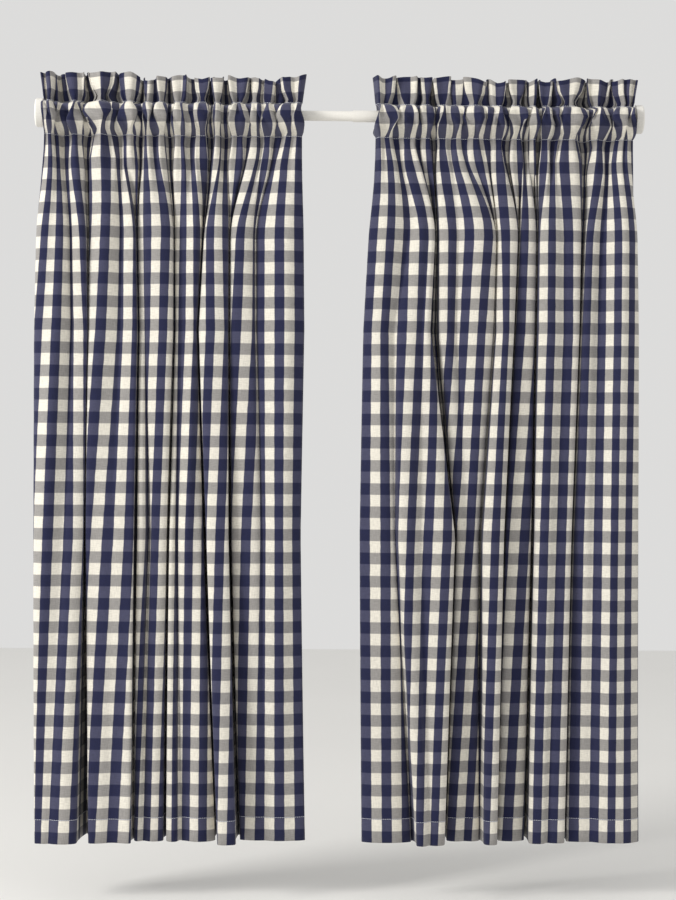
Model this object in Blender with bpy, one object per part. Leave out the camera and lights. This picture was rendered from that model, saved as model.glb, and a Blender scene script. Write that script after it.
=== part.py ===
# A pair of gathered cafe curtain panels on a thin spring tension rod.
# Frame: origin at the middle of the left end pad's outer face, +X along the rod to the right,
# -Y towards the room, +Z up. Lengths are metres; the fold tables are in millimetres.
import bpy
import numpy as np
from math import pi

MM = 0.001

# Rod
ROD_LENGTH = 0.722
PAD_RADIUS = 0.017
PAD_THICKNESS = 0.009
PAD_SOCKET_DEPTH = 0.005
INNER_TUBE_RADIUS = 0.006
OUTER_TUBE_RADIUS = 0.007
TUBE_WALL = 0.0007
OUTER_TUBE_START = 0.376
INNER_TUBE_END = 0.530
FIT_GAP = 0.0003
ROUND_SIDES = 32

# Cloth: heights are measured from the rod's axis, one check is a stripe of the weave
CHECK = 13.77
CUT_WIDTH_IN_CHECKS = 66.4
CLOTH_THICKNESS = 1.7
HEADER_LAYERS = 1.3
HEADER_TOP = 44.5
STITCH_TOP = 12.5
STITCH_BOTTOM = -26.0
FOLDS_SET_AT = -120.0
POCKET_CLEARANCE = 0.35
POCKET_LOWER_CURVE = 18.0
POCKET_UPPER_CURVE = 6.0
GATHER_DEPTH = 12.0
BOW_OF_SPARE_CLOTH = 0.21
INNER_RIDGE = 0.35
EDGE_RETURN_LEAN = 0.15
LOOP_SWELL = 2.0
CORNER_SOFTNESS = 0.22

STATIONS = 72
FINE_STEPS = 1400
BODY_ROWS = (-860.0, -740.0, -620.0, -499.0, -380.0, -256.0, -180.0, -120.0, -84.0, -52.0, -30.0)
POCKET_ROWS = (-19.0, -9.0, 0.0, 8.0)
HEADER_ROWS = (14.0, 29.0, 44.5)
TUNNEL_BOTTOM = -22.0
TUNNEL_TOP = 11.0

# The heights at which the fold tables give each fold's place
FOLD_HEIGHTS = (-860.0, -499.0, -256.0, -84.0)

# One row per fold, left to right. Each height has: left edge and right edge of the face that
# shows, in mm from the left pad, and the checks of cloth passed at those two edges.
# The last two columns are how far the face stands in front of the rod's axis, at the hem and
# under the pocket, in mm.
# hem, middle, upper, gathers, then the two fronts
LEFT_FOLDS = (
    (2, 19, 3.4, 5.5,  1, 38, 2.4, 5.5,  1, 44, 1.4, 5.4,  4, 39, 0.2, 4.8,  30, 16),
    (20, 51, 5.6, 8.1,  39, 60, 5.6, 7.4,  47, 64, 6.3, 7.8,  45, 60, 6.5, 8.4,  32, 18),
    (65, 86, 17.8, 19.4,  62, 94, 15.9, 18.3,  65, 101, 14.7, 17.6,  65, 102, 13.8, 17.4,  28, 15),
    (87, 115, 19.5, 21.6,  95, 119, 18.4, 20.3,  104, 122, 18.2, 19.9,  106, 118, 18.4, 19.4,  27, 18),
    (117, 126, 25.5, 27.3,  122, 133, 24.4, 25.4,  125, 131, 24.8, 25.3,  121, 127, 24.6, 25.3,  14, 13),
    (128, 152, 27.4, 30.2,  138, 157, 27.4, 29.2,  133, 164, 25.9, 29.0,  130, 163, 25.5, 28.4,  12, 19),
    (155, 169, 34.5, 36.4,  160, 167, 34.6, 35.4,  167, 172, 35.0, 35.6,  166, 171, 34.6, 35.3,  12, 14),
    (173, 213, 37.4, 41.4,  171, 200, 36.6, 39.6,  175, 192, 35.9, 37.8,  174, 200, 35.5, 39.0,  10, 17),
    (216, 238, 50.4, 52.4,  204, 230, 48.4, 50.8,  195, 229, 46.6, 49.8,  204, 229, 47.4, 50.4,  38, 16),
    (242, 271, 59.9, 62.4,  233, 267, 58.4, 61.3,  232, 260, 57.4, 59.6,  232, 258, 56.4, 59.4,  8, 18),
    (272, 319, 62.5, 66.4,  270, 315, 62.0, 66.4,  263, 319, 61.6, 66.4,  262, 317, 61.5, 66.4,  8, 15),
)
RIGHT_FOLDS = (
    (386, 445, 0.0, 5.0,  385, 426, 0.0, 3.4,  389, 426, 0.0, 3.8,  398, 449, 0.0, 5.0,  18, 15),
    (449, 462, 8.1, 9.6,  429, 453, 5.0, 7.4,  428, 455, 3.9, 6.4,  456, 467, 6.0, 6.9,  44, 17),
    (463, 483, 9.7, 12.0,  454, 497, 7.5, 11.4,  457, 468, 6.5, 8.1,  469, 476, 7.1, 7.8,  38, 14),
    (487, 507, 20.1, 22.0,  500, 512, 19.1, 20.1,  478, 497, 15.0, 17.0,  478, 502, 15.0, 17.2,  12, 16),
    (508, 526, 22.1, 24.0,  513, 526, 20.3, 21.5,  500, 543, 17.7, 22.0,  505, 547, 17.5, 21.0,  10, 18),
    (529, 545, 26.3, 28.0,  529, 555, 25.0, 27.6,  546, 567, 25.0, 27.9,  549, 574, 26.0, 28.0,  34, 17),
    (548, 580, 35.6, 38.3,  558, 589, 34.6, 37.2,  570, 593, 34.1, 36.0,  577, 595, 34.0, 36.0,  6, 15),
    (583, 602, 45.6, 47.5,  592, 613, 45.5, 47.6,  596, 623, 45.0, 47.8,  598, 623, 45.0, 47.8,  28, 18),
    (605, 626, 48.0, 49.8,  616, 636, 47.9, 49.6,  626, 645, 48.0, 49.7,  626, 648, 48.0, 50.0,  22, 16),
    (629, 656, 57.8, 60.0,  639, 662, 58.0, 60.0,  648, 667, 58.0, 60.0,  655, 675, 58.0, 60.6,  14, 14),
    (659, 716, 60.2, 66.2,  665, 716, 60.2, 66.0,  670, 716, 60.2, 65.8,  678, 713, 61.0, 65.4,  14, 17),
)

# One row per ruffle of the heading: left edge, right edge, and its crest above or below the mean top
LEFT_RUFFLES = (
    (11, 24, 1), (40, 58, 2), (63, 95, 3), (101, 123, 1), (128, 134, -5), (145, 154, -3), (162, 177, 1),
    (188, 205, -4), (209, 220, -1), (228, 250, -2), (253, 265, -1), (268, 282, -6), (286, 315, 0),
)
RIGHT_RUFFLES = (
    (403, 428, 0), (431, 453, 2), (456, 470, 1), (473, 490, 1), (492, 505, 0), (508, 534, 1), (538, 556, -3),
    (560, 580, 0), (584, 595, -1), (597, 612, -1), (615, 650, 1), (655, 679, 1), (682, 709, 0),
)

CLOTH_COLOUR = (0.25, 0.26, 0.36, 1.0)
ROD_COLOUR = (0.80, 0.78, 0.74, 1.0)


def clear_scene():
    for thing in list(bpy.data.objects):
        bpy.data.objects.remove(thing, do_unlink=True)


def material(name, colour, roughness):
    made = bpy.data.materials.new(name)
    made.use_nodes = True
    shader = made.node_tree.nodes["Principled BSDF"]
    shader.inputs["Base Color"].default_value = colour
    shader.inputs["Roughness"].default_value = roughness
    shader.inputs["Metallic"].default_value = 0.0
    return made


def add_object(name, points, faces, finish, smooth=True):
    mesh = bpy.data.meshes.new(name)
    mesh.from_pydata([tuple(p) for p in points], [], [tuple(f) for f in faces])
    mesh.validate()
    made = bpy.data.objects.new(name, mesh)
    made.data.materials.append(finish)
    bpy.context.scene.collection.objects.link(made)
    if smooth:
        mesh.shade_smooth()
    return made


def turned(name, profile, finish):
    """A closed profile of (x, radius) turned about the rod's axis; the profile runs so that faces point out."""
    angles = np.arange(ROUND_SIDES) * 2 * pi / ROUND_SIDES
    points = [(x, r * np.cos(a), r * np.sin(a)) for x, r in profile for a in angles]
    faces = []
    rings = len(profile)
    for i in range(rings):
        here, there = i * ROUND_SIDES, ((i + 1) % rings) * ROUND_SIDES
        for j in range(ROUND_SIDES):
            k = (j + 1) % ROUND_SIDES
            faces.append((here + j, there + j, there + k, here + k))
    return add_object(name, points, faces, finish)


def tube(name, start, end, radius, finish):
    bore = radius - TUBE_WALL
    return turned(name, ((start, radius), (start, bore), (end, bore), (end, radius)), finish)


def pad(name, face, side, socket_radius, finish):
    """A flat rubber-faced disc with a blind socket for the tube, closed on its outer face."""
    inner = face + side * PAD_THICKNESS
    floor = inner - side * PAD_SOCKET_DEPTH
    tip = 0.0
    rim = 0.0015
    profile = ((face, tip), (face, PAD_RADIUS - rim), (face + side * rim, PAD_RADIUS), (inner, PAD_RADIUS),
               (inner, socket_radius), (floor, socket_radius), (floor, tip))
    angles = np.arange(ROUND_SIDES) * 2 * pi / ROUND_SIDES
    points = [(face, 0.0, 0.0)]
    for x, r in profile[1:-1]:
        points += [(x, r * np.cos(a), r * np.sin(a)) for a in angles]
    points.append((floor, 0.0, 0.0))
    last = len(points) - 1
    faces = []
    for j in range(ROUND_SIDES):
        k = (j + 1) % ROUND_SIDES
        faces.append((0, 1 + k, 1 + j))
        faces.append((last, last - ROUND_SIDES + j, last - ROUND_SIDES + k))
        for ring in range(len(profile) - 3):
            a, b = 1 + ring * ROUND_SIDES, 1 + (ring + 1) * ROUND_SIDES
            faces.append((a + j, a + k, b + k, b + j))
    if side < 0:
        faces = [f[::-1] for f in faces]
    return add_object(name, points, faces, finish)


def fold_rows(folds, height):
    """Left edge, right edge, and checks at both, of each fold at one height, read from the table."""
    table = np.array(folds, dtype=float)
    edges = []
    for kind in range(4):
        edges.append(np.array([np.interp(height, FOLD_HEIGHTS, row[kind:16:4]) for row in table]))
    share = np.clip((height - FOLD_HEIGHTS[0]) / (FOLD_HEIGHTS[-1] - FOLD_HEIGHTS[0]), 0, 1)
    front = -(table[:, 16] * (1 - share) + table[:, 17] * share)
    return edges[0], edges[1], edges[2], edges[3], front


def plan_curve(left, right, check_left, check_right, front, checks, double):
    """The cloth's line seen from above, at every value of checks.

    Across a fold's face x runs evenly and y bows forward as far as the cloth in it needs. Between two
    faces the cloth goes back and returns in one loop, or two where double is 1, as deep as the cloth
    hidden there needs, and the loop swells behind the faces.
    """
    x = np.interp(checks, np.stack([check_left, check_right], 1).ravel(), np.stack([left, right], 1).ravel())
    y = np.interp(checks, np.stack([check_left, check_right], 1).ravel(), np.repeat(front, 2))
    for i in range(len(left)):
        wide = right[i] - left[i]
        cloth = (check_right[i] - check_left[i]) * CHECK
        bow = BOW_OF_SPARE_CLOTH * np.sqrt(max(cloth ** 2 - wide ** 2, 0))
        across = np.clip((checks - check_left[i]) / max(check_right[i] - check_left[i], 1e-6), 0, 1)
        y -= bow * np.sin(pi * across) ** 0.8
    for i in range(len(left) - 1):
        span = check_left[i + 1] - check_right[i]
        gap = left[i + 1] - right[i]
        cloth = span * CHECK
        depth = np.sqrt(max(cloth ** 2 - gap ** 2, 0)) / (2 + 1.3 * double)
        along = np.clip((checks - check_right[i]) / max(span, 1e-6), 0, 1)
        single_loop = 1 - np.abs(2 * along - 1)
        humps = 1 - np.abs(np.abs(4 * along - 2) - 1)
        ridge = INNER_RIDGE * (np.abs(along - 0.5) < 0.25)
        double_loop = np.maximum(humps, ridge)
        y += depth * ((1 - double) * single_loop + double * double_loop)
        x += (1 - double) * LOOP_SWELL * -np.sin(2 * pi * along) * min(1.0, cloth / 40)
    start = np.clip(check_left[0] - checks, 0, None) * CHECK
    end = np.clip(checks - check_right[-1], 0, None) * CHECK
    y += start + end
    x += EDGE_RETURN_LEAN * (start - end)
    return x, y


def ruffle_rows(ruffles, folds):
    """The heading's ruffles as fold rows: the checks under each come from where the folds below lie."""
    table = np.array(ruffles, dtype=float)
    left, right, c_left, c_right, front = fold_rows(folds, FOLD_HEIGHTS[-1])
    places = np.stack([left, right], 1).ravel()
    checks = np.stack([c_left, c_right], 1).ravel()
    places[0], places[-1] = min(places[0], table[0, 0]), max(places[-1], table[-1, 1])
    checks[0], checks[-1] = 0.0, CUT_WIDTH_IN_CHECKS
    middle = (table[:, 0] + table[:, 1]) / 2
    even = (middle - places[0]) / (places[-1] - places[0]) * CUT_WIDTH_IN_CHECKS
    centre = 0.5 * np.interp(middle, places, checks) + 0.5 * even
    half = (table[:, 1] - table[:, 0]) / CHECK * 0.55
    reach = np.diff(centre) / 2 - 0.6
    half[:-1] = np.minimum(half[:-1], reach)
    half[1:] = np.minimum(half[1:], reach)
    low, high = centre - half, centre + half
    low[0], high[-1] = 0.0, CUT_WIDTH_IN_CHECKS
    return table[:, 0], table[:, 1], low, high, np.full(len(centre), -GATHER_DEPTH)


def soften(values, step):
    """Each point becomes the mean of its neighbours under a bell curve CORNER_SOFTNESS checks wide."""
    reach = int(4 * CORNER_SOFTNESS / step)
    bell = np.exp(-0.5 * (np.arange(-reach, reach + 1) * step / CORNER_SOFTNESS) ** 2)
    bell /= bell.sum()
    before = 2 * values[0] - values[reach:0:-1]
    after = 2 * values[-1] - values[-2:-reach - 2:-1]
    padded = np.concatenate([before, values, after])
    return np.convolve(padded, bell, mode="valid")


def cloth_line(folds, ruffles, height, stations):
    """Middle line of the cloth and its unit normal, in plan, at one height."""
    checks = np.linspace(0, CUT_WIDTH_IN_CHECKS, FINE_STEPS)
    step = checks[1] - checks[0]
    gathered = np.clip((height - FOLDS_SET_AT) / (STITCH_BOTTOM - FOLDS_SET_AT), 0, 1)
    gathered = gathered ** 2 * (3 - 2 * gathered)
    doubled = np.clip((height + 500) / 400, 0, 1)
    x, y = plan_curve(*fold_rows(folds, height), checks, doubled)
    top_x, top_y = plan_curve(*ruffle_rows(ruffles, folds), checks, 0.0)
    top_y = top_y - (top_y.max() + top_y.min()) / 2
    top_y *= GATHER_DEPTH / np.abs(top_y).max()
    x = (1 - gathered) * x + gathered * top_x
    y = (1 - gathered) * y + gathered * top_y
    x, y = soften(x, step), soften(y, step)
    slope_x, slope_y = np.gradient(x), np.gradient(y)
    size = np.hypot(slope_x, slope_y)
    normal = (soften(slope_y / size, step), soften(-slope_x / size, step))
    size = np.hypot(*normal)
    return [np.interp(stations, checks, v) for v in (x, y, normal[0] / size, normal[1] / size)]


def pocket_spread(height, full):
    """How far each layer of the pocket stands from the seams' line: nothing at both seams, full at the rod."""
    low, high = height - STITCH_BOTTOM, STITCH_TOP - height
    if low <= 0 or high <= 0:
        return 0.0
    rise = np.sin(pi / 2 * min(1.0, low / POCKET_LOWER_CURVE))
    fall = np.sin(pi / 2 * min(1.0, high / POCKET_UPPER_CURVE))
    return full * min(rise, fall)


def panel(name, folds, ruffles, tube_radius, finish):
    """A closed sheet with the folds of its tables, doubled over the rod at the top."""
    stations = np.linspace(0, CUT_WIDTH_IN_CHECKS, STATIONS)
    half = CLOTH_THICKNESS / 2
    full_spread = tube_radius / MM + POCKET_CLEARANCE + half + GATHER_DEPTH
    heights = BODY_ROWS + POCKET_ROWS + HEADER_ROWS
    crest = np.array(ruffles, dtype=float)
    points = []
    index = {}

    def add_row(key, x, y, z):
        index[key] = len(points) + np.arange(STATIONS)
        points.extend(np.stack([x, y, z], 1))

    for row, height in enumerate(heights):
        x, y, nx, ny = cloth_line(folds, ruffles, height, stations)
        z = np.full(STATIONS, height)
        if height > STITCH_TOP:
            lift = np.interp(x, (crest[:, 0] + crest[:, 1]) / 2, crest[:, 2])
            z = z + lift * (height - STITCH_TOP) / (HEADER_TOP - STITCH_TOP)
        spread = pocket_spread(height, full_spread)
        layer = half * (HEADER_LAYERS if height > STITCH_TOP else 1.0)
        add_row(("front", row), x + nx * layer, y - spread + ny * layer, z)
        add_row(("back", row), x - nx * layer, y + spread - ny * layer, z)
        if height in POCKET_ROWS:
            add_row(("front inner", row), x - nx * layer, y - spread - ny * layer, z)
            add_row(("back inner", row), x + nx * layer, y + spread + ny * layer, z)
    for key, height in (("low", TUNNEL_BOTTOM), ("high", TUNNEL_TOP)):
        x, y, nx, ny = cloth_line(folds, ruffles, height, stations)
        add_row((key, 0), x, y, np.full(STATIONS, height))
    faces = []

    def wall(lower, upper, flip):
        for j in range(STATIONS - 1):
            face = (lower[j], lower[j + 1], upper[j + 1], upper[j])
            for corner in ((0, 1, 2), (0, 2, 3)):
                tri = tuple(int(face[c]) for c in corner)
                faces.append(tri[::-1] if flip else tri)

    def side(at, loop, flip):
        """A fan of triangles over the corners of one end strip."""
        corners = [int(index[key][at]) for key in loop]
        for k in range(1, len(corners) - 1):
            tri = (corners[0], corners[k], corners[k + 1])
            faces.append(tri[::-1] if flip else tri)

    last = len(heights) - 1
    first_pocket = len(BODY_ROWS)
    last_pocket = first_pocket + len(POCKET_ROWS) - 1
    for row in range(last):
        wall(index["front", row], index["front", row + 1], False)
        wall(index["back", row], index["back", row + 1], True)
    wall(index["front", 0], index["back", 0], True)
    wall(index["front", last], index["back", last], False)
    for layer, flip in (("front inner", True), ("back inner", False)):
        rows = [index["low", 0]] + [index[layer, r] for r in range(first_pocket, last_pocket + 1)]
        rows.append(index["high", 0])
        for lower, upper in zip(rows, rows[1:]):
            wall(lower, upper, flip)
    for at, flip in ((0, False), (STATIONS - 1, True)):
        for row in range(last):
            if row + 1 < first_pocket or row > last_pocket:
                side(at, (("front", row), ("front", row + 1), ("back", row + 1), ("back", row)), flip)
        below, above = first_pocket - 1, last_pocket + 1
        side(at, (("low", 0), ("back", below), ("front", below)), flip)
        side(at, (("low", 0), ("front", below), ("front", first_pocket), ("front inner", first_pocket)), flip)
        side(at, (("low", 0), ("back inner", first_pocket), ("back", first_pocket), ("back", below)), flip)
        for row in range(first_pocket, last_pocket):
            side(at, (("front", row), ("front", row + 1), ("front inner", row + 1), ("front inner", row)), flip)
            side(at, (("back inner", row), ("back inner", row + 1), ("back", row + 1), ("back", row)), flip)
        side(at, (("high", 0), ("front", above), ("back", above)), flip)
        side(at, (("high", 0), ("front inner", last_pocket), ("front", last_pocket), ("front", above)), flip)
        side(at, (("high", 0), ("back", above), ("back", last_pocket), ("back inner", last_pocket)), flip)
    return add_object(name, np.array(points) * MM, faces, finish)


def main():
    clear_scene()
    cloth = material("woven cotton", CLOTH_COLOUR, 0.9)
    enamel = material("white enamelled steel", ROD_COLOUR, 0.4)
    plastic = material("white plastic", ROD_COLOUR, 0.5)
    pad("end_pad_left", 0.0, 1, INNER_TUBE_RADIUS + FIT_GAP, plastic)
    pad("end_pad_right", ROD_LENGTH, -1, OUTER_TUBE_RADIUS + FIT_GAP, plastic)
    seat = PAD_THICKNESS - PAD_SOCKET_DEPTH + FIT_GAP
    tube("rod_inner_tube", seat, INNER_TUBE_END, INNER_TUBE_RADIUS, enamel)
    tube("rod_outer_tube", OUTER_TUBE_START, ROD_LENGTH - seat, OUTER_TUBE_RADIUS, enamel)
    panel("panel_left", LEFT_FOLDS, LEFT_RUFFLES, INNER_TUBE_RADIUS, cloth)
    panel("panel_right", RIGHT_FOLDS, RIGHT_RUFFLES, OUTER_TUBE_RADIUS, cloth)


main()
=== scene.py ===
"""A pair of gathered cafe curtain panels on a white tension rod: cloth, sewing, rod finish and stage."""
from math import pi

import bpy
import numpy as np
from bpy.props import FloatProperty, FloatVectorProperty, PointerProperty
from mathutils import Matrix, Vector


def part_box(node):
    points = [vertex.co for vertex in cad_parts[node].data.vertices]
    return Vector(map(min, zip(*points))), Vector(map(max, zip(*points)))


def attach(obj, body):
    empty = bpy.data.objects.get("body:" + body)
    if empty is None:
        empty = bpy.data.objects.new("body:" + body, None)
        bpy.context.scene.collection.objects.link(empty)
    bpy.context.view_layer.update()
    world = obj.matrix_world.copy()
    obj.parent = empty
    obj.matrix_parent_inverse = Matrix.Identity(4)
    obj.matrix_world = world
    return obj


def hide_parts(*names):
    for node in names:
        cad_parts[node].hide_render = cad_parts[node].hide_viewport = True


bl_info = {
    "name": "Gathered Cafe Curtains",
    "version": (1, 0, 0),
    "blender": (4, 5, 0),
    "location": "View3D > Sidebar > Cafe Curtains",
    "description": "Makes a pair of gathered checked cafe curtains on a tension rod",
    "category": "Add Mesh",
}

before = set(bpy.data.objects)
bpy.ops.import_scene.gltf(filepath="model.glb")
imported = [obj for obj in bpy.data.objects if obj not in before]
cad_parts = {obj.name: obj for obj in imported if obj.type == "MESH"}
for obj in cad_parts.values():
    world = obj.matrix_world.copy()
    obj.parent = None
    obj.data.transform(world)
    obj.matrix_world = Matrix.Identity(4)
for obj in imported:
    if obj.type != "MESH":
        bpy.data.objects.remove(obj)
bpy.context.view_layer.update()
INNER_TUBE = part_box("rod_inner_tube")
OUTER_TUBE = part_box("rod_outer_tube")

MM = 0.001
INNER_RADIUS = (INNER_TUBE[1][2] - INNER_TUBE[0][2]) / 2 / MM
OUTER_RADIUS = (OUTER_TUBE[1][2] - OUTER_TUBE[0][2]) / 2 / MM

# Cloth sizes in millimetres, heights measured from the rod's axis; a check is one stripe of the weave
CHECK = 13.77
CUT_WIDTH_IN_CHECKS = 66.4
ROWS_TO_HEM = 61
HEADER_TOP = 44.5
STITCH_TOP = 12.5
STITCH_BOTTOM = -26.0
HEM_BOTTOM = -860.0
HEM_STITCH = -832.0
POCKET_ROWS = 3
HEADER_ROWS = 2.4
FOLDS_SET_AT = -150.0
GATHER_DEPTH = 12.0
POCKET_CLEARANCE = 1.0
POCKET_LOWER_CURVE = 20.0
POCKET_UPPER_CURVE = 7.0
HEM_DRIFT = 5.5
LAYER_STEP = 0.55
STITCH_LIFT = 0.3
STITCH_SHARE = 0.78
STITCH_HALF_HEIGHT = 0.2
STITCH_DEPTHS = (-0.2, 0.35)
BESIDE_LOWER_SEAM = -0.6
BESIDE_UPPER_SEAM = 0.8

# Shape of a fold: its face bows out by a share of its spare cloth, and a loop behind swells by so many mm
BOW_OF_SPARE_CLOTH = 0.21
FACE_ROUNDNESS = 0.8
WALLS_OF_ONE_LOOP = 2.0
MORE_WALLS_OF_TWO = 1.3
INNER_RIDGE = 0.35
LOOP_SWELL = 2.0
CLOTH_OF_FULL_SWELL = 40.0
EDGE_RETURN_LEAN = 0.15
CORNER_SOFTNESS = 0.17
TWO_LOOPS_FROM = -500.0
TWO_LOOPS_AT = -100.0

# Stripes added to the weave's count so that no mark is below zero
MARKS_ADDED = 10

# Points across the sheet, and across the line that they are read from
COLUMNS = 290
FINE_STEPS = 1800

# Ruffles: height, and how wide a ruffle's face is there beside its width in the table
RUFFLE_OPENING = ((-60.0, 0.95), (-26.0, 0.5), (-8.0, 1.0), (2.0, 0.8), (12.5, 0.32),
                  (26.0, 0.85), (44.5, 1.15))
RUFFLE_STAGGER = 6.0
STAGGER_TURN = 2.4
CLOTH_IN_RUFFLE = 0.55
CHECKS_BETWEEN_RUFFLES = 0.6
HEADER_SPREAD = 0.25
HEADER_FLARE = 5.0
PUFF_CRUMPLE = 2.4
PUFF_ROUNDNESS = 0.7
PIT_DEPTH = 6.5
PIT_WIDTH = 0.3

# The seams' puckers fade out over these distances, and some come back in the heading from a height up
PUCKER_FADE_TOP = 9.0
PUCKER_FADE_BOTTOM = 65.0
HEADER_PUCKER_FROM = 16.0
HEADER_PUCKER = 0.5

# The soft rolls of the hanging cloth: size, height of a radian, and the smaller second roll beside it
SOFT_ROLL = 2.4
ROLL_HEIGHT = 210.0
SECOND_ROLL = 0.5
SECOND_ROLL_TURNS = 2.3
SECOND_ROLL_SLANT = 0.9

# Uneven waves in the cloth.
CREASES = {
    "seam pucker": (0, 1.8, 0.0, 2.6),
    "fine pucker": (9, 1.0, 0.0, 0.78),
    "top shift": (3, 2.6, 0.0, 1.4),
    "roll wander": (5, 9.0, 0.0, 2.0),
    "puff": (13, 2.1, 0.05, 1.0),
    "twist": (17, 3.4, -0.05, 2.6),
    "frill": (21, 3.0, 0.0, 1.8),
    "pit": (27, 4.0, 0.06, 1.0),
    "header lean": (31, 4.5, 0.0, 2.4),
}

# Fine threads and longer slubs in the width of one stripe
THREADS_A_CHECK = 18.0
SLUBS_A_CHECK = 1.6

# How much navy and cream show where the two yarns cross
NAVY_BESIDE_CREAM = 1.5
CREAM_WEFT_IN_NAVY = 0.055
CREAM_WARP_IN_NAVY = 0.39

# The heights at which the fold tables give each fold's place
FOLD_HEIGHTS = (-860.0, -499.0, -256.0, -84.0)

# One row per fold, left to right. The last two columns are how far the face stands before the rod's
# axis at the hem and at the top.
LEFT_FOLDS = (
    (2, 19, 3.4, 5.5,  1, 38, 2.4, 5.5,  1, 44, 1.4, 5.4,  4, 39, 0.2, 4.8,  30, 16),
    (20, 51, 5.6, 8.1,  39, 60, 5.6, 7.4,  47, 64, 6.3, 7.8,  45, 60, 6.5, 8.4,  32, 18),
    (65, 86, 17.8, 19.4,  62, 94, 15.9, 18.3,  65, 101, 14.7, 17.6,  65, 102, 13.8, 17.4,  28, 15),
    (87, 115, 19.5, 21.6,  95, 119, 18.4, 20.3,  104, 122, 18.2, 19.9,  106, 118, 18.4, 19.4,  27, 18),
    (117, 126, 25.5, 27.3,  122, 133, 24.4, 25.4,  125, 131, 24.8, 25.3,  121, 127, 24.6, 25.3,  14, 13),
    (128, 152, 27.4, 30.2,  138, 157, 27.4, 29.2,  133, 164, 25.9, 29.0,  130, 163, 25.5, 28.4,  12, 19),
    (155, 169, 34.5, 36.4,  160, 167, 34.6, 35.4,  167, 172, 35.0, 35.6,  166, 171, 34.6, 35.3,  12, 14),
    (173, 213, 37.4, 41.4,  171, 200, 36.6, 39.6,  175, 192, 35.9, 37.8,  174, 200, 35.5, 39.0,  10, 17),
    (216, 238, 50.4, 52.4,  204, 230, 48.4, 50.8,  195, 229, 46.6, 49.8,  204, 229, 47.4, 50.4,  38, 16),
    (242, 271, 59.9, 62.4,  233, 267, 58.4, 61.3,  232, 260, 57.4, 59.6,  232, 258, 56.4, 59.4,  8, 18),
    (272, 319, 62.5, 66.4,  270, 315, 62.0, 66.4,  263, 319, 61.6, 66.4,  262, 317, 61.5, 66.4,  8, 15),
)
RIGHT_FOLDS = (
    (386, 445, 0.0, 5.0,  385, 426, 0.0, 3.4,  389, 426, 0.0, 3.8,  398, 449, 0.0, 5.0,  18, 15),
    (449, 462, 8.1, 9.6,  429, 453, 5.0, 7.4,  428, 455, 3.9, 6.4,  456, 467, 6.0, 6.9,  44, 17),
    (463, 483, 9.7, 12.0,  454, 497, 7.5, 11.4,  457, 468, 6.5, 8.1,  469, 476, 7.1, 7.8,  38, 14),
    (487, 507, 20.1, 22.0,  500, 512, 19.1, 20.1,  478, 497, 15.0, 17.0,  478, 502, 15.0, 17.2,  12, 16),
    (508, 526, 22.1, 24.0,  513, 526, 20.3, 21.5,  500, 543, 17.7, 22.0,  505, 547, 17.5, 21.0,  10, 18),
    (529, 545, 26.3, 28.0,  529, 555, 25.0, 27.6,  546, 567, 25.0, 27.9,  549, 574, 26.0, 28.0,  34, 17),
    (548, 580, 35.6, 38.3,  558, 589, 34.6, 37.2,  570, 593, 34.1, 36.0,  577, 595, 34.0, 36.0,  6, 15),
    (583, 602, 45.6, 47.5,  592, 613, 45.5, 47.6,  596, 623, 45.0, 47.8,  598, 623, 45.0, 47.8,  28, 18),
    (605, 626, 48.0, 49.8,  616, 636, 47.9, 49.6,  626, 645, 48.0, 49.7,  626, 648, 48.0, 50.0,  22, 16),
    (629, 656, 57.8, 60.0,  639, 662, 58.0, 60.0,  648, 667, 58.0, 60.0,  655, 675, 58.0, 60.6,  14, 14),
    (659, 716, 60.2, 66.2,  665, 716, 60.2, 66.0,  670, 716, 60.2, 65.8,  678, 713, 61.0, 65.4,  14, 17),
)

# One row per ruffle of the heading: left edge, right edge, and its crest above or below the mean top
LEFT_RUFFLES = (
    (11, 24, 1), (40, 58, 2), (63, 95, 3), (101, 123, 1), (128, 134, -5), (145, 154, -3), (162, 177, 1),
    (188, 205, -4), (209, 220, -1), (228, 250, -2), (253, 265, -1), (268, 282, -6), (286, 315, 0),
)
RIGHT_RUFFLES = (
    (403, 428, 0), (431, 453, 2), (456, 470, 1), (473, 490, 1), (492, 505, 0), (508, 534, 1),
    (538, 556, -3), (560, 580, 0),
    (584, 595, -1), (597, 612, -1), (615, 650, 1), (655, 679, 1), (682, 709, 0),
)

# The way of the cloth from its hidden hem edge to the end of the pocket's back layer. Each row:
# start height, end height, layers towards the room at start and end, side of the rod, grid rows.
CLOTH_WAY = (
    (-833.0, -859.0, -1.2, -1.2, 0, 5),
    (-859.0, -859.8, -1.2, -0.2, 0, 3),
    (-859.4, -26.0, 0.2, 0.5, 0, 92),
    (-25.5, 12.5, 0.5, 0.6, 1, 16),
    (13.5, 44.0, 0.8, 0.8, 0, 11),
    (44.4, 44.5, 0.5, 0.0, 0, 2),
    (44.2, 13.5, -0.6, -0.6, 0, 8),
    (12.5, -26.0, -0.6, -0.6, -1, 12),
)


def colour(hexadecimal):
    """An sRGB hex value as linear red, green, blue and alpha."""
    parts = np.array([int(hexadecimal[i:i + 2], 16) for i in (1, 3, 5)]) / 255
    linear = np.where(parts <= 0.04045, parts / 12.92, ((parts + 0.055) / 1.055) ** 2.4)
    return tuple(float(v) for v in linear) + (1.0,)


class CurtainLook(bpy.types.PropertyGroup):
    """Sizes and colours that a user would change."""
    navy: FloatVectorProperty(name="Navy", description="Dyed yarn", subtype="COLOR", size=3,
                              default=colour("#171b3d")[:3])
    cream: FloatVectorProperty(name="Cream", description="Undyed yarn", subtype="COLOR", size=3,
                               default=colour("#dfdace")[:3])
    cloth_thickness: FloatProperty(name="Cloth thickness", description="Thickness of one layer of cloth",
                                   default=0.0005, unit="LENGTH")
    stitch_length: FloatProperty(name="Stitch length", description="Length of one machine stitch",
                                 default=0.0026, unit="LENGTH")


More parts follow.
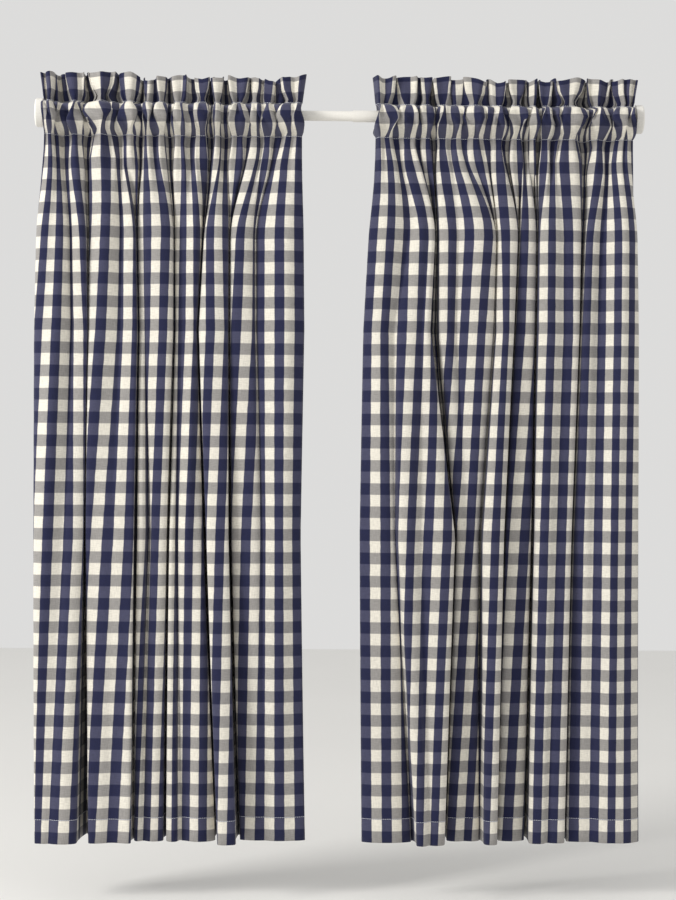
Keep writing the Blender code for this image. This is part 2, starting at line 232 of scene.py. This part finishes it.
def node(tree, kind, settings=None, links=None):
    """Adds one shader node, sets its values and links its inputs to other nodes' outputs."""
    made = tree.nodes.new(kind)
    for name, value in (settings or {}).items():
        if isinstance(name, str) and hasattr(made, name):
            setattr(made, name, value)
        else:
            made.inputs[name].default_value = value
    for name, source in (links or {}).items():
        tree.links.new(source, made.inputs[name])
    return made


def new_material(name):
    """A new material with its node tree and its Principled shader."""
    made = bpy.data.materials.new(name)
    made.use_nodes = True
    return made, made.node_tree, made.node_tree.nodes["Principled BSDF"]


def share_of(height, start, end):
    """0 at the start height and before it, 1 at the end height and past it, and even between them."""
    return min(max((height - start) / (end - start), 0.0), 1.0)


def fold_rows(folds, height):
    """Left edge, right edge, checks at both and front of every fold at one height, from its table."""
    table = np.array(folds, dtype=float)
    share = share_of(height, FOLD_HEIGHTS[0], FOLD_HEIGHTS[-1])
    edges = []
    for kind in range(4):
        edges.append(np.array([np.interp(height, FOLD_HEIGHTS, row[kind:16:4]) for row in table]))
    front = -(table[:, 16] * (1 - share) + table[:, 17] * share)
    return (*edges, front)


def plan_curve(left, right, check_left, check_right, front, checks, double):
    """The cloth's line seen from above, at every value of checks.

    Across a fold's face x runs evenly and y bows forward as far as the cloth in it needs. Between two
    faces the cloth goes back and returns in one loop, or two where double is 1, as deep as the cloth
    hidden there needs, and the loop swells behind the faces.
    """
    knots = np.stack([check_left, check_right], 1).ravel()
    x = np.interp(checks, knots, np.stack([left, right], 1).ravel())
    y = np.interp(checks, knots, np.repeat(front, 2))
    for i in range(len(left)):
        wide = right[i] - left[i]
        cloth = (check_right[i] - check_left[i]) * CHECK
        bow = BOW_OF_SPARE_CLOTH * np.sqrt(max(cloth ** 2 - wide ** 2, 0))
        across = np.clip((checks - check_left[i]) / max(check_right[i] - check_left[i], 1e-6), 0, 1)
        y -= bow * np.sin(pi * across) ** FACE_ROUNDNESS
    for i in range(len(left) - 1):
        span = check_left[i + 1] - check_right[i]
        gap = left[i + 1] - right[i]
        cloth = span * CHECK
        depth = np.sqrt(max(cloth ** 2 - gap ** 2, 0)) / (WALLS_OF_ONE_LOOP + MORE_WALLS_OF_TWO * double)
        along = np.clip((checks - check_right[i]) / max(span, 1e-6), 0, 1)
        single_loop = 1 - np.abs(2 * along - 1)
        humps = 1 - np.abs(np.abs(4 * along - 2) - 1)
        double_loop = np.maximum(humps, INNER_RIDGE * (np.abs(along - 0.5) < 0.25))
        y += depth * ((1 - double) * single_loop + double * double_loop)
        x -= (1 - double) * LOOP_SWELL * np.sin(2 * pi * along) * min(1.0, cloth / CLOTH_OF_FULL_SWELL)
    start = np.clip(check_left[0] - checks, 0, None) * CHECK
    end = np.clip(checks - check_right[-1], 0, None) * CHECK
    y += start + end
    x += EDGE_RETURN_LEAN * (start - end)
    return x, y


def ruffle_rows(ruffles, folds, height):
    """The heading's ruffles as fold rows: the checks under each come from where the folds below lie.

    A ruffle's face is narrow where a seam pinches it, wider in the pocket and widest at the top edge.
    """
    table = np.array(ruffles, dtype=float)
    left, right, c_left, c_right, front = fold_rows(folds, FOLD_HEIGHTS[-1])
    places = np.stack([left, right], 1).ravel()
    checks = np.stack([c_left, c_right], 1).ravel()
    places[0], places[-1] = min(places[0], table[0, 0]), max(places[-1], table[-1, 1])
    checks[0], checks[-1] = 0.0, CUT_WIDTH_IN_CHECKS
    middle = (table[:, 0] + table[:, 1]) / 2
    even = (middle - places[0]) / (places[-1] - places[0]) * CUT_WIDTH_IN_CHECKS
    centre = 0.5 * np.interp(middle, places, checks) + 0.5 * even
    half = (table[:, 1] - table[:, 0]) / CHECK * CLOTH_IN_RUFFLE
    room = np.diff(centre) / 2 - CHECKS_BETWEEN_RUFFLES
    half[:-1] = np.minimum(half[:-1], room)
    half[1:] = np.minimum(half[1:], room)
    low, high = centre - half, centre + half
    low[0], high[-1] = 0.0, CUT_WIDTH_IN_CHECKS
    # Each ruffle is pinched a little higher or lower than the next one, so the puffs don't line up
    stagger = RUFFLE_STAGGER * np.sin(np.arange(len(table)) * STAGGER_TURN)
    open_at = np.interp(height + stagger, *zip(*RUFFLE_OPENING))
    reach = (table[:, 1] - table[:, 0]) / 2 * open_at
    left, right = middle - reach, middle + reach
    left[0], right[-1] = table[0, 0], table[-1, 1]
    return left, right, low, high, np.full(len(centre), -GATHER_DEPTH)


def soften(values, step, width=CORNER_SOFTNESS):
    """Each point becomes the mean of its neighbours under a bell curve so many checks wide."""
    reach = int(4 * width / step)
    bell = np.exp(-0.5 * (np.arange(-reach, reach + 1) * step / width) ** 2)
    bell /= bell.sum()
    before = 2 * values[0] - values[reach:0:-1]
    after = 2 * values[-1] - values[-2:-reach - 2:-1]
    return np.convolve(np.concatenate([before, values, after]), bell, mode="valid")


def crease(name, checks, height, seed, count=7):
    """An uneven wave along the cloth: a few sines near one wavelength, in seeded phases, added up."""
    seed_step, wave, lean, size = CREASES[name]
    draw = np.random.RandomState(seed + seed_step)
    total = np.zeros_like(checks)
    for _ in range(count):
        length = wave * draw.uniform(0.7, 1.5)
        total += np.sin(2 * pi * (checks + lean * height) / length + draw.uniform(0, 2 * pi))
    return size * total / np.sqrt(count)


def gathered_line(folds, ruffles, height, checks, seed):
    """Plan of the gathered cloth at heading, pocket and seams: ruffles with puffs, pits and a flare."""
    above = share_of(height, STITCH_TOP, HEADER_TOP)
    in_pocket = np.sin(pi * share_of(height, STITCH_BOTTOM, STITCH_TOP)) ** PUFF_ROUNDNESS
    x, y = plan_curve(*ruffle_rows(ruffles, folds, height), checks, 0.0)
    y = y - (y.max() + y.min()) / 2
    y = y * GATHER_DEPTH / np.abs(y).max() * (1 + HEADER_SPREAD * above)
    puffs = PUFF_CRUMPLE * np.tanh(crease("puff", checks, height, seed))
    pits = PIT_DEPTH * np.exp(-(crease("pit", checks, height, seed) / PIT_WIDTH) ** 2)
    x = x + crease("twist", checks, height, seed) * in_pocket
    y = y + (puffs + pits) * in_pocket + crease("header lean", checks, height, seed) * above
    middle = (x[0] + x[-1]) / 2
    flare = HEADER_FLARE * ((x - middle) / (x[-1] - middle)) ** 3
    return x + (crease("top shift", checks, height, seed) + flare) * above, y


def cloth_line(folds, ruffles, height, checks, seed):
    """Middle line of the cloth and its unit normal towards the room, in plan, at one height.

    It is the hanging folds' plan with soft rolls, which turns smoothly into the gathered plan with the
    seams' puckers. Then corners are rounded.
    """
    step = checks[1] - checks[0]
    gathered = share_of(height, FOLDS_SET_AT, STITCH_BOTTOM)
    gathered = gathered ** 2 * (3 - 2 * gathered)
    x, y = plan_curve(*fold_rows(folds, height), checks, share_of(height, TWO_LOOPS_FROM, TWO_LOOPS_AT))
    top_x, top_y = gathered_line(folds, ruffles, height, checks, seed)
    near = (np.exp(-((height - STITCH_TOP) / PUCKER_FADE_TOP) ** 2)
            + np.exp(-(min(height - STITCH_BOTTOM, 0) / PUCKER_FADE_BOTTOM) ** 2))
    if height < HEADER_PUCKER_FROM:
        near = min(near, 1.0)
    else:
        near += HEADER_PUCKER * share_of(height, STITCH_TOP, HEADER_TOP)
    pucker = crease("seam pucker", checks, height, seed) + crease("fine pucker", checks, height, seed)
    roll = height / ROLL_HEIGHT
    soft = np.sin(roll + crease("roll wander", checks, height, seed))
    soft += SECOND_ROLL * np.sin(roll * SECOND_ROLL_TURNS + checks * SECOND_ROLL_SLANT)
    x = (1 - gathered) * x + gathered * top_x
    x = x + HEM_DRIFT * share_of(height, STITCH_BOTTOM, HEM_BOTTOM) ** 2
    y = (1 - gathered) * (y + SOFT_ROLL * soft) + gathered * (top_y + pucker * near)
    x, y = soften(x, step), soften(y, step)
    slope_x, slope_y = np.gradient(x), np.gradient(y)
    size = np.hypot(slope_x, slope_y)
    room_x, room_y = soften(slope_y / size, step), soften(-slope_x / size, step)
    size = np.hypot(room_x, room_y)
    return x, y, room_x / size, room_y / size


def pocket_spread(height, full):
    """How far a layer of the pocket stands from the seams' line: nothing at both seams, full at the rod."""
    low, high = height - STITCH_BOTTOM, STITCH_TOP - height
    if low <= 0 or high <= 0:
        return 0.0
    rise = np.sin(pi / 2 * min(1.0, low / POCKET_LOWER_CURVE))
    fall = np.sin(pi / 2 * min(1.0, high / POCKET_UPPER_CURVE))
    return full * min(rise, fall)


def weave_row(height):
    """Rows of checks counted down from the lower seam: even whole numbers start a navy row."""
    if height <= STITCH_BOTTOM:
        return (STITCH_BOTTOM - height) / (STITCH_BOTTOM - HEM_BOTTOM) * ROWS_TO_HEM
    if height <= STITCH_TOP:
        return (STITCH_BOTTOM - height) / (STITCH_TOP - STITCH_BOTTOM) * POCKET_ROWS
    return -POCKET_ROWS - (height - STITCH_TOP) / (HEADER_TOP - STITCH_TOP) * HEADER_ROWS


def cloth_grid(folds, ruffles, tube_radius, seed):
    """The cloth as a grid of points, in mm: one row of the grid for each step along the cloth's way.

    Each row is the plan line at that height, moved along its normal by the layer's step and, at the
    pocket, to the side of the rod that the layer passes. Returns points, and the weave's rows.
    """
    fine = np.linspace(0, CUT_WIDTH_IN_CHECKS, FINE_STEPS)
    checks = np.linspace(0, CUT_WIDTH_IN_CHECKS, COLUMNS)
    full = tube_radius + POCKET_CLEARANCE + GATHER_DEPTH + PUFF_CRUMPLE + PIT_DEPTH
    crest = np.array(ruffles, dtype=float)
    frill = crease("frill", checks, 0.0, seed)
    points, rows = [], []
    for start, end, layer_start, layer_end, side, count in CLOTH_WAY:
        for share in np.linspace(0, 1, count):
            height = start + (end - start) * share
            layer = (layer_start + (layer_end - layer_start) * share) * LAYER_STEP
            x, y, room_x, room_y = (np.interp(checks, fine, v)
                                    for v in cloth_line(folds, ruffles, height, fine, seed))
            z = np.full(COLUMNS, height)
            lift = np.interp(x, (crest[:, 0] + crest[:, 1]) / 2, crest[:, 2]) + frill
            z = z + lift * share_of(height, STITCH_TOP, HEADER_TOP)
            spread = pocket_spread(height, full)
            points.append(np.stack([x + room_x * layer, y + room_y * layer - side * spread, z], 1))
            rows.append(weave_row(height))
    return np.array(points), np.array(rows)


def grid_mesh(name, points, check_marks, row_marks):
    """A sheet from a grid of points, its faces towards the room, with the weave's count as its UV map."""
    down, across = points.shape[:2]
    index = np.arange(down * across).reshape(down, across)
    quads = np.stack([index[:-1, :-1], index[:-1, 1:], index[1:, 1:], index[1:, :-1]], 2).reshape(-1, 4)
    mesh = bpy.data.meshes.new(name)
    mesh.from_pydata([], [], [])
    mesh.vertices.add(down * across)
    mesh.vertices.foreach_set("co", (points.reshape(-1, 3) * MM).ravel())
    mesh.loops.add(quads.size)
    mesh.loops.foreach_set("vertex_index", quads.ravel())
    mesh.polygons.add(len(quads))
    mesh.polygons.foreach_set("loop_start", np.arange(0, quads.size, 4))
    mesh.update(calc_edges=True)
    mesh.validate()
    uv = np.stack([np.tile(check_marks, down), np.repeat(row_marks, across)], 1)
    layer = mesh.uv_layers.new(name="weave")
    layer.data.foreach_set("uv", uv[quads.ravel()].ravel())
    mesh.shade_smooth()
    made = bpy.data.objects.new(name, mesh)
    bpy.context.scene.collection.objects.link(made)
    return made


def stitch_mesh(name, lines, stitch_length):
    """Machine stitches as small flat bars laid end to end along lines of points with their normals.

    A bar runs from one place on the line to another a stitch further on. Its eight corners stand half a
    thread above and below the line, and a little inside the cloth and outside it.
    """
    box = np.array([(0, 1, 3, 2), (4, 6, 7, 5), (0, 4, 5, 1), (2, 3, 7, 6), (0, 2, 6, 4), (1, 5, 7, 3)])
    up = np.array([0.0, 0.0, STITCH_HALF_HEIGHT])
    bars = []
    for line, room in lines:
        run = np.concatenate([[0], np.cumsum(np.linalg.norm(np.diff(line, axis=0), axis=1))])
        number = int(run[-1] / (stitch_length / MM))
        middles = (np.arange(number) + 0.5) * run[-1] / number
        half = STITCH_SHARE / 2 * run[-1] / number
        out = np.stack([np.interp(middles, run, room[:, k]) for k in range(3)], 1)
        out /= np.linalg.norm(out, axis=1, keepdims=True)
        corners = []
        for places in (middles - half, middles + half):
            point = np.stack([np.interp(places, run, line[:, k]) for k in range(3)], 1)
            corners += [point + side * up + depth * out for side in (-1, 1) for depth in STITCH_DEPTHS]
        bars.append(np.stack(corners, 1))
    bars = np.concatenate(bars)
    faces = (np.arange(len(bars))[:, None, None] * 8 + box).reshape(-1, 4)
    mesh = bpy.data.meshes.new(name)
    mesh.from_pydata((bars.reshape(-1, 3) * MM).tolist(), [], faces.tolist())
    mesh.update()
    made = bpy.data.objects.new(name, mesh)
    bpy.context.scene.collection.objects.link(made)
    return made


def stripe_mask(tree, along):
    """0 in every second stripe and 1 in the others, with a woven edge between them."""
    shifted = node(tree, "ShaderNodeMath", {"operation": "ADD", 1: 1.5}, {0: along})
    wave = node(tree, "ShaderNodeMath", {"operation": "PINGPONG", 1: 1.0}, {0: shifted.outputs[0]})
    edge = node(tree, "ShaderNodeMapRange", {"From Min": 0.47, "From Max": 0.53},
                {"Value": wave.outputs[0]})
    return edge.outputs[0]


def cotton_material(name, check_offset, look):
    """Yarn-dyed plain-weave cotton: four tones of check, slubby threads and a dull face."""
    made, tree, shader = new_material(name)
    uv = node(tree, "ShaderNodeUVMap", {"uv_map": "weave"})
    split = node(tree, "ShaderNodeSeparateXYZ", links={0: uv.outputs[0]})
    # A slow wander of less than a tenth of a check keeps the stripes' edges from being ruled
    wander = node(tree, "ShaderNodeTexNoise", {"Scale": 0.9, "Detail": 2.0}, {"Vector": uv.outputs[0]})
    drift = node(tree, "ShaderNodeMath", {"operation": "MULTIPLY_ADD", 1: 0.10, 2: check_offset - 0.05},
                 {0: wander.outputs[0]})
    across = node(tree, "ShaderNodeMath", {"operation": "ADD"}, {0: split.outputs[0], 1: drift.outputs[0]})
    warp = stripe_mask(tree, across.outputs[0])
    weft = stripe_mask(tree, split.outputs[1])
    # The warp yarn hides most of the weft, so a crossing of both is nearer to its warp's colour
    navy, cream = np.array(look.navy), np.array(look.cream)
    slate = NAVY_BESIDE_CREAM * navy + CREAM_WEFT_IN_NAVY * cream
    grey = navy + CREAM_WARP_IN_NAVY * (cream - navy)
    navy_warp, cream_warp = (
        node(tree, "ShaderNodeMix", {"data_type": "RGBA", 6: (*over, 1.0), 7: (*beside, 1.0)}, {0: weft})
        for over, beside in ((navy, slate), (grey, cream)))
    check = node(tree, "ShaderNodeMix", {"data_type": "RGBA"},
                 {0: warp, 6: navy_warp.outputs[2], 7: cream_warp.outputs[2]})
    # Threads are 0.4 mm apart, drawn about twice as coarse so that they show at all
    threads = []
    for scale in ((THREADS_A_CHECK, SLUBS_A_CHECK, 1.0), (SLUBS_A_CHECK, THREADS_A_CHECK, 1.0)):
        stretched = node(tree, "ShaderNodeMapping", {"Scale": scale}, {"Vector": uv.outputs[0]})
        threads.append(node(tree, "ShaderNodeTexNoise", {"Scale": 1.0, "Detail": 3.0},
                            {"Vector": stretched.outputs[0]}).outputs[0])
    slub = node(tree, "ShaderNodeMath", {"operation": "ADD"}, {0: threads[0], 1: threads[1]})
    light = node(tree, "ShaderNodeMapRange",
                 {"From Min": 0.75, "From Max": 1.25, "To Min": 0.86, "To Max": 1.14},
                 {"Value": slub.outputs[0]})
    shaded = node(tree, "ShaderNodeVectorMath", {"operation": "SCALE"},
                  {0: check.outputs[2], "Scale": light.outputs[0]})
    tree.links.new(shaded.outputs[0], shader.inputs["Base Color"])
    bump = node(tree, "ShaderNodeBump", {"Strength": 0.35, "Distance": 0.0004}, {"Height": slub.outputs[0]})
    tree.links.new(bump.outputs[0], shader.inputs["Normal"])
    shader.inputs["Roughness"].default_value = 0.88
    shader.inputs["Specular IOR Level"].default_value = 0.25
    shader.inputs["Sheen Weight"].default_value = 0.12
    shader.inputs["Sheen Roughness"].default_value = 0.6
    return made


def thread_material():
    """Spun polyester sewing thread: off-white with a faint shine and a fine twist."""
    made, tree, shader = new_material("spun sewing thread")
    place = node(tree, "ShaderNodeTexCoord")
    twist = node(tree, "ShaderNodeTexWave", {"Scale": 900.0, "Distortion": 1.0},
                 {"Vector": place.outputs["Object"]})
    tone = node(tree, "ShaderNodeMix", {"data_type": "RGBA", 6: colour("#b9bccb"), 7: colour("#dcdde4")},
                {0: twist.outputs[0]})
    tree.links.new(tone.outputs[2], shader.inputs["Base Color"])
    shader.inputs["Roughness"].default_value = 0.6
    return made


def enamel_material(name, base, roughness, grain):
    """Baked white enamel or moulded plastic: smooth, slightly warm, with a faint orange-peel surface."""
    made, tree, shader = new_material(name)
    place = node(tree, "ShaderNodeTexCoord")
    peel = node(tree, "ShaderNodeTexNoise", {"Scale": grain, "Detail": 2.0},
                {"Vector": place.outputs["Object"]})
    tone = node(tree, "ShaderNodeMix", {"data_type": "RGBA", 6: colour(base), 7: colour("#f4f2ec")},
                {0: peel.outputs[0]})
    tree.links.new(tone.outputs[2], shader.inputs["Base Color"])
    bump = node(tree, "ShaderNodeBump", {"Strength": 0.08, "Distance": 0.0002}, {"Height": peel.outputs[0]})
    tree.links.new(bump.outputs[0], shader.inputs["Normal"])
    shader.inputs["Roughness"].default_value = roughness
    return made


def make_panel(cad_name, folds, ruffles, tube_radius, seed, check_offset):
    """One panel: the folded sheet and the three lines of stitching on it."""
    look = bpy.context.scene.curtain_look
    points, rows = cloth_grid(folds, ruffles, tube_radius, seed)
    checks = np.linspace(0, CUT_WIDTH_IN_CHECKS, COLUMNS)
    cloth = grid_mesh(cad_name + "_cloth", points, checks + MARKS_ADDED, rows + MARKS_ADDED)
    cloth.data.materials.append(cotton_material(cad_name + " yarn-dyed cotton", check_offset, look))
    thick = cloth.modifiers.new("cloth thickness", "SOLIDIFY")
    thick.thickness = look.cloth_thickness
    thick.offset = 0.0
    heights = points[:, :, 2].mean(1)
    front = np.where(np.gradient(heights) > 0)[0]
    lines = []
    for height in (HEM_STITCH, STITCH_BOTTOM + BESIDE_LOWER_SEAM, STITCH_TOP + BESIDE_UPPER_SEAM):
        row = front[np.argmin(np.abs(heights[front] - height))]
        line = points[row].copy()
        line[:, 2] = height
        tangent = np.gradient(line, axis=0)
        room = np.stack([tangent[:, 1], -tangent[:, 0], 0 * tangent[:, 0]], 1)
        room /= np.linalg.norm(room, axis=1, keepdims=True)
        lines.append((line + room * STITCH_LIFT, room))
    sewing = stitch_mesh(cad_name + "_stitching", lines, look.stitch_length)
    sewing.data.materials.append(bpy.data.materials.get("spun sewing thread") or thread_material())
    for piece in (cloth, sewing):
        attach(piece, "root")
    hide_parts(cad_name)


class CURTAIN_OT_left_panel(bpy.types.Operator):
    """Make the left panel"""
    bl_idname = "curtain.left_panel"
    bl_label = "Left Panel"

    def execute(self, context):
        make_panel("panel_left", LEFT_FOLDS, LEFT_RUFFLES, INNER_RADIUS, 11, 0.6)
        return {"FINISHED"}


class CURTAIN_OT_right_panel(bpy.types.Operator):
    """Make the right panel"""
    bl_idname = "curtain.right_panel"
    bl_label = "Right Panel"

    def execute(self, context):
        make_panel("panel_right", RIGHT_FOLDS, RIGHT_RUFFLES, OUTER_RADIUS, 47, 0.0)
        return {"FINISHED"}


class CURTAIN_OT_rod_finish(bpy.types.Operator):
    """Give the tubes and end pads their finish"""
    bl_idname = "curtain.rod_finish"
    bl_label = "Rod Finish"

    def execute(self, context):
        enamel = enamel_material("baked white enamel", "#e4e0d8", 0.32, 900.0)
        plastic = enamel_material("moulded white plastic", "#dedad2", 0.5, 1400.0)
        for name, finish in (("rod_inner_tube", enamel), ("rod_outer_tube", enamel),
                             ("end_pad_left", plastic), ("end_pad_right", plastic)):
            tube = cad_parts[name]
            tube.data.materials.clear()
            tube.data.materials.append(finish)
        return {"FINISHED"}


class CURTAIN_OT_stage(bpy.types.Operator):
    """Make the pale floor, the soft lights and the camera"""
    bl_idname = "curtain.stage"
    bl_label = "Stage"

    def execute(self, context):
        make_stage()
        make_lights()
        make_camera()
        return {"FINISHED"}


def make_stage():
    """A plain pale floor a little below the hems."""
    floor, half, middle = -0.93, 3.0, 0.36
    points = [(middle + x * half, y * half, floor) for x, y in ((-1, -1), (1, -1), (1, 1), (-1, 1))]
    mesh = bpy.data.meshes.new("floor")
    mesh.from_pydata(points, [], [(0, 1, 2, 3)])
    floor_object = bpy.data.objects.new("floor", mesh)
    bpy.context.scene.collection.objects.link(floor_object)
    made, tree, shader = new_material("pale painted floor")
    place = node(tree, "ShaderNodeTexCoord")
    mottle = node(tree, "ShaderNodeTexNoise", {"Scale": 1.5}, {"Vector": place.outputs["Object"]})
    tone = node(tree, "ShaderNodeMix", {"data_type": "RGBA", 6: colour("#e6e5e2"), 7: colour("#ebeae7")},
                {0: mottle.outputs[0]})
    tree.links.new(tone.outputs[2], shader.inputs["Base Color"])
    shader.inputs["Roughness"].default_value = 0.9
    mesh.materials.append(made)


def area_light(name, place, target, size, power, tint):
    lamp = bpy.data.lights.new(name, "AREA")
    lamp.size = size
    lamp.energy = power
    lamp.color = tint
    made = bpy.data.objects.new(name, lamp)
    made.location = place
    aim = np.array(target) - np.array(place)
    made.rotation_euler = Vector(aim).to_track_quat("-Z", "Y").to_euler()
    bpy.context.scene.collection.objects.link(made)


def make_lights():
    """A soft light from the upper left of the room, a weaker one from the right, and the sky's fill."""
    centre = (0.36, 0.0, -0.4)
    area_light("key light", (-2.3, -1.6, 0.9), centre, 1.0, 76.0, (1.0, 0.985, 0.96))
    area_light("fill light", (2.9, -2.2, 0.3), centre, 2.2, 5.0, (0.95, 0.97, 1.0))
    world = bpy.data.worlds.new("studio")
    world.use_nodes = True
    background = world.node_tree.nodes["Background"]
    background.inputs["Color"].default_value = (1.0, 0.995, 0.985, 1.0)
    background.inputs["Strength"].default_value = 0.72
    bpy.context.scene.world = world
    bpy.context.scene.view_settings.view_transform = "Standard"


def make_camera():
    """A level view from 2.4 m off, a little left of the middle and turned slightly about its axis."""
    lens = bpy.data.cameras.new("camera")
    lens.lens = 80.9
    lens.sensor_width = 36.0
    made = bpy.data.objects.new("camera", lens)
    yaw, roll = -0.0288, 0.0070
    turn = Matrix.Rotation(yaw, 4, "Z") @ Matrix.Rotation(pi / 2, 4, "X") @ Matrix.Rotation(roll, 4, "Z")
    made.matrix_world = Matrix.Translation((0.2915, -2.405, -0.3972)) @ turn
    bpy.context.scene.collection.objects.link(made)
    bpy.context.scene.camera = made


class CURTAIN_PT_sidebar(bpy.types.Panel):
    """Lists the operators and the look's values"""
    bl_idname = "CURTAIN_PT_sidebar"
    bl_label = "Cafe Curtains"
    bl_space_type = "VIEW_3D"
    bl_region_type = "UI"
    bl_category = "Cafe Curtains"

    def draw(self, context):
        for name in ("navy", "cream", "cloth_thickness", "stitch_length"):
            self.layout.prop(context.scene.curtain_look, name)
        for operator in OPERATORS:
            self.layout.operator(operator.bl_idname)


OPERATORS = (CURTAIN_OT_left_panel, CURTAIN_OT_right_panel, CURTAIN_OT_rod_finish, CURTAIN_OT_stage)
CLASSES = (CurtainLook,) + OPERATORS + (CURTAIN_PT_sidebar,)


def register():
    for made in CLASSES:
        bpy.utils.register_class(made)
    bpy.types.Scene.curtain_look = PointerProperty(type=CurtainLook)


def unregister():
    del bpy.types.Scene.curtain_look
    for made in reversed(CLASSES):
        bpy.utils.unregister_class(made)


def main():
    register()
    bpy.ops.curtain.left_panel()
    bpy.ops.curtain.right_panel()
    bpy.ops.curtain.rod_finish()
    bpy.ops.curtain.stage()


if __name__ == "__main__":
    main()
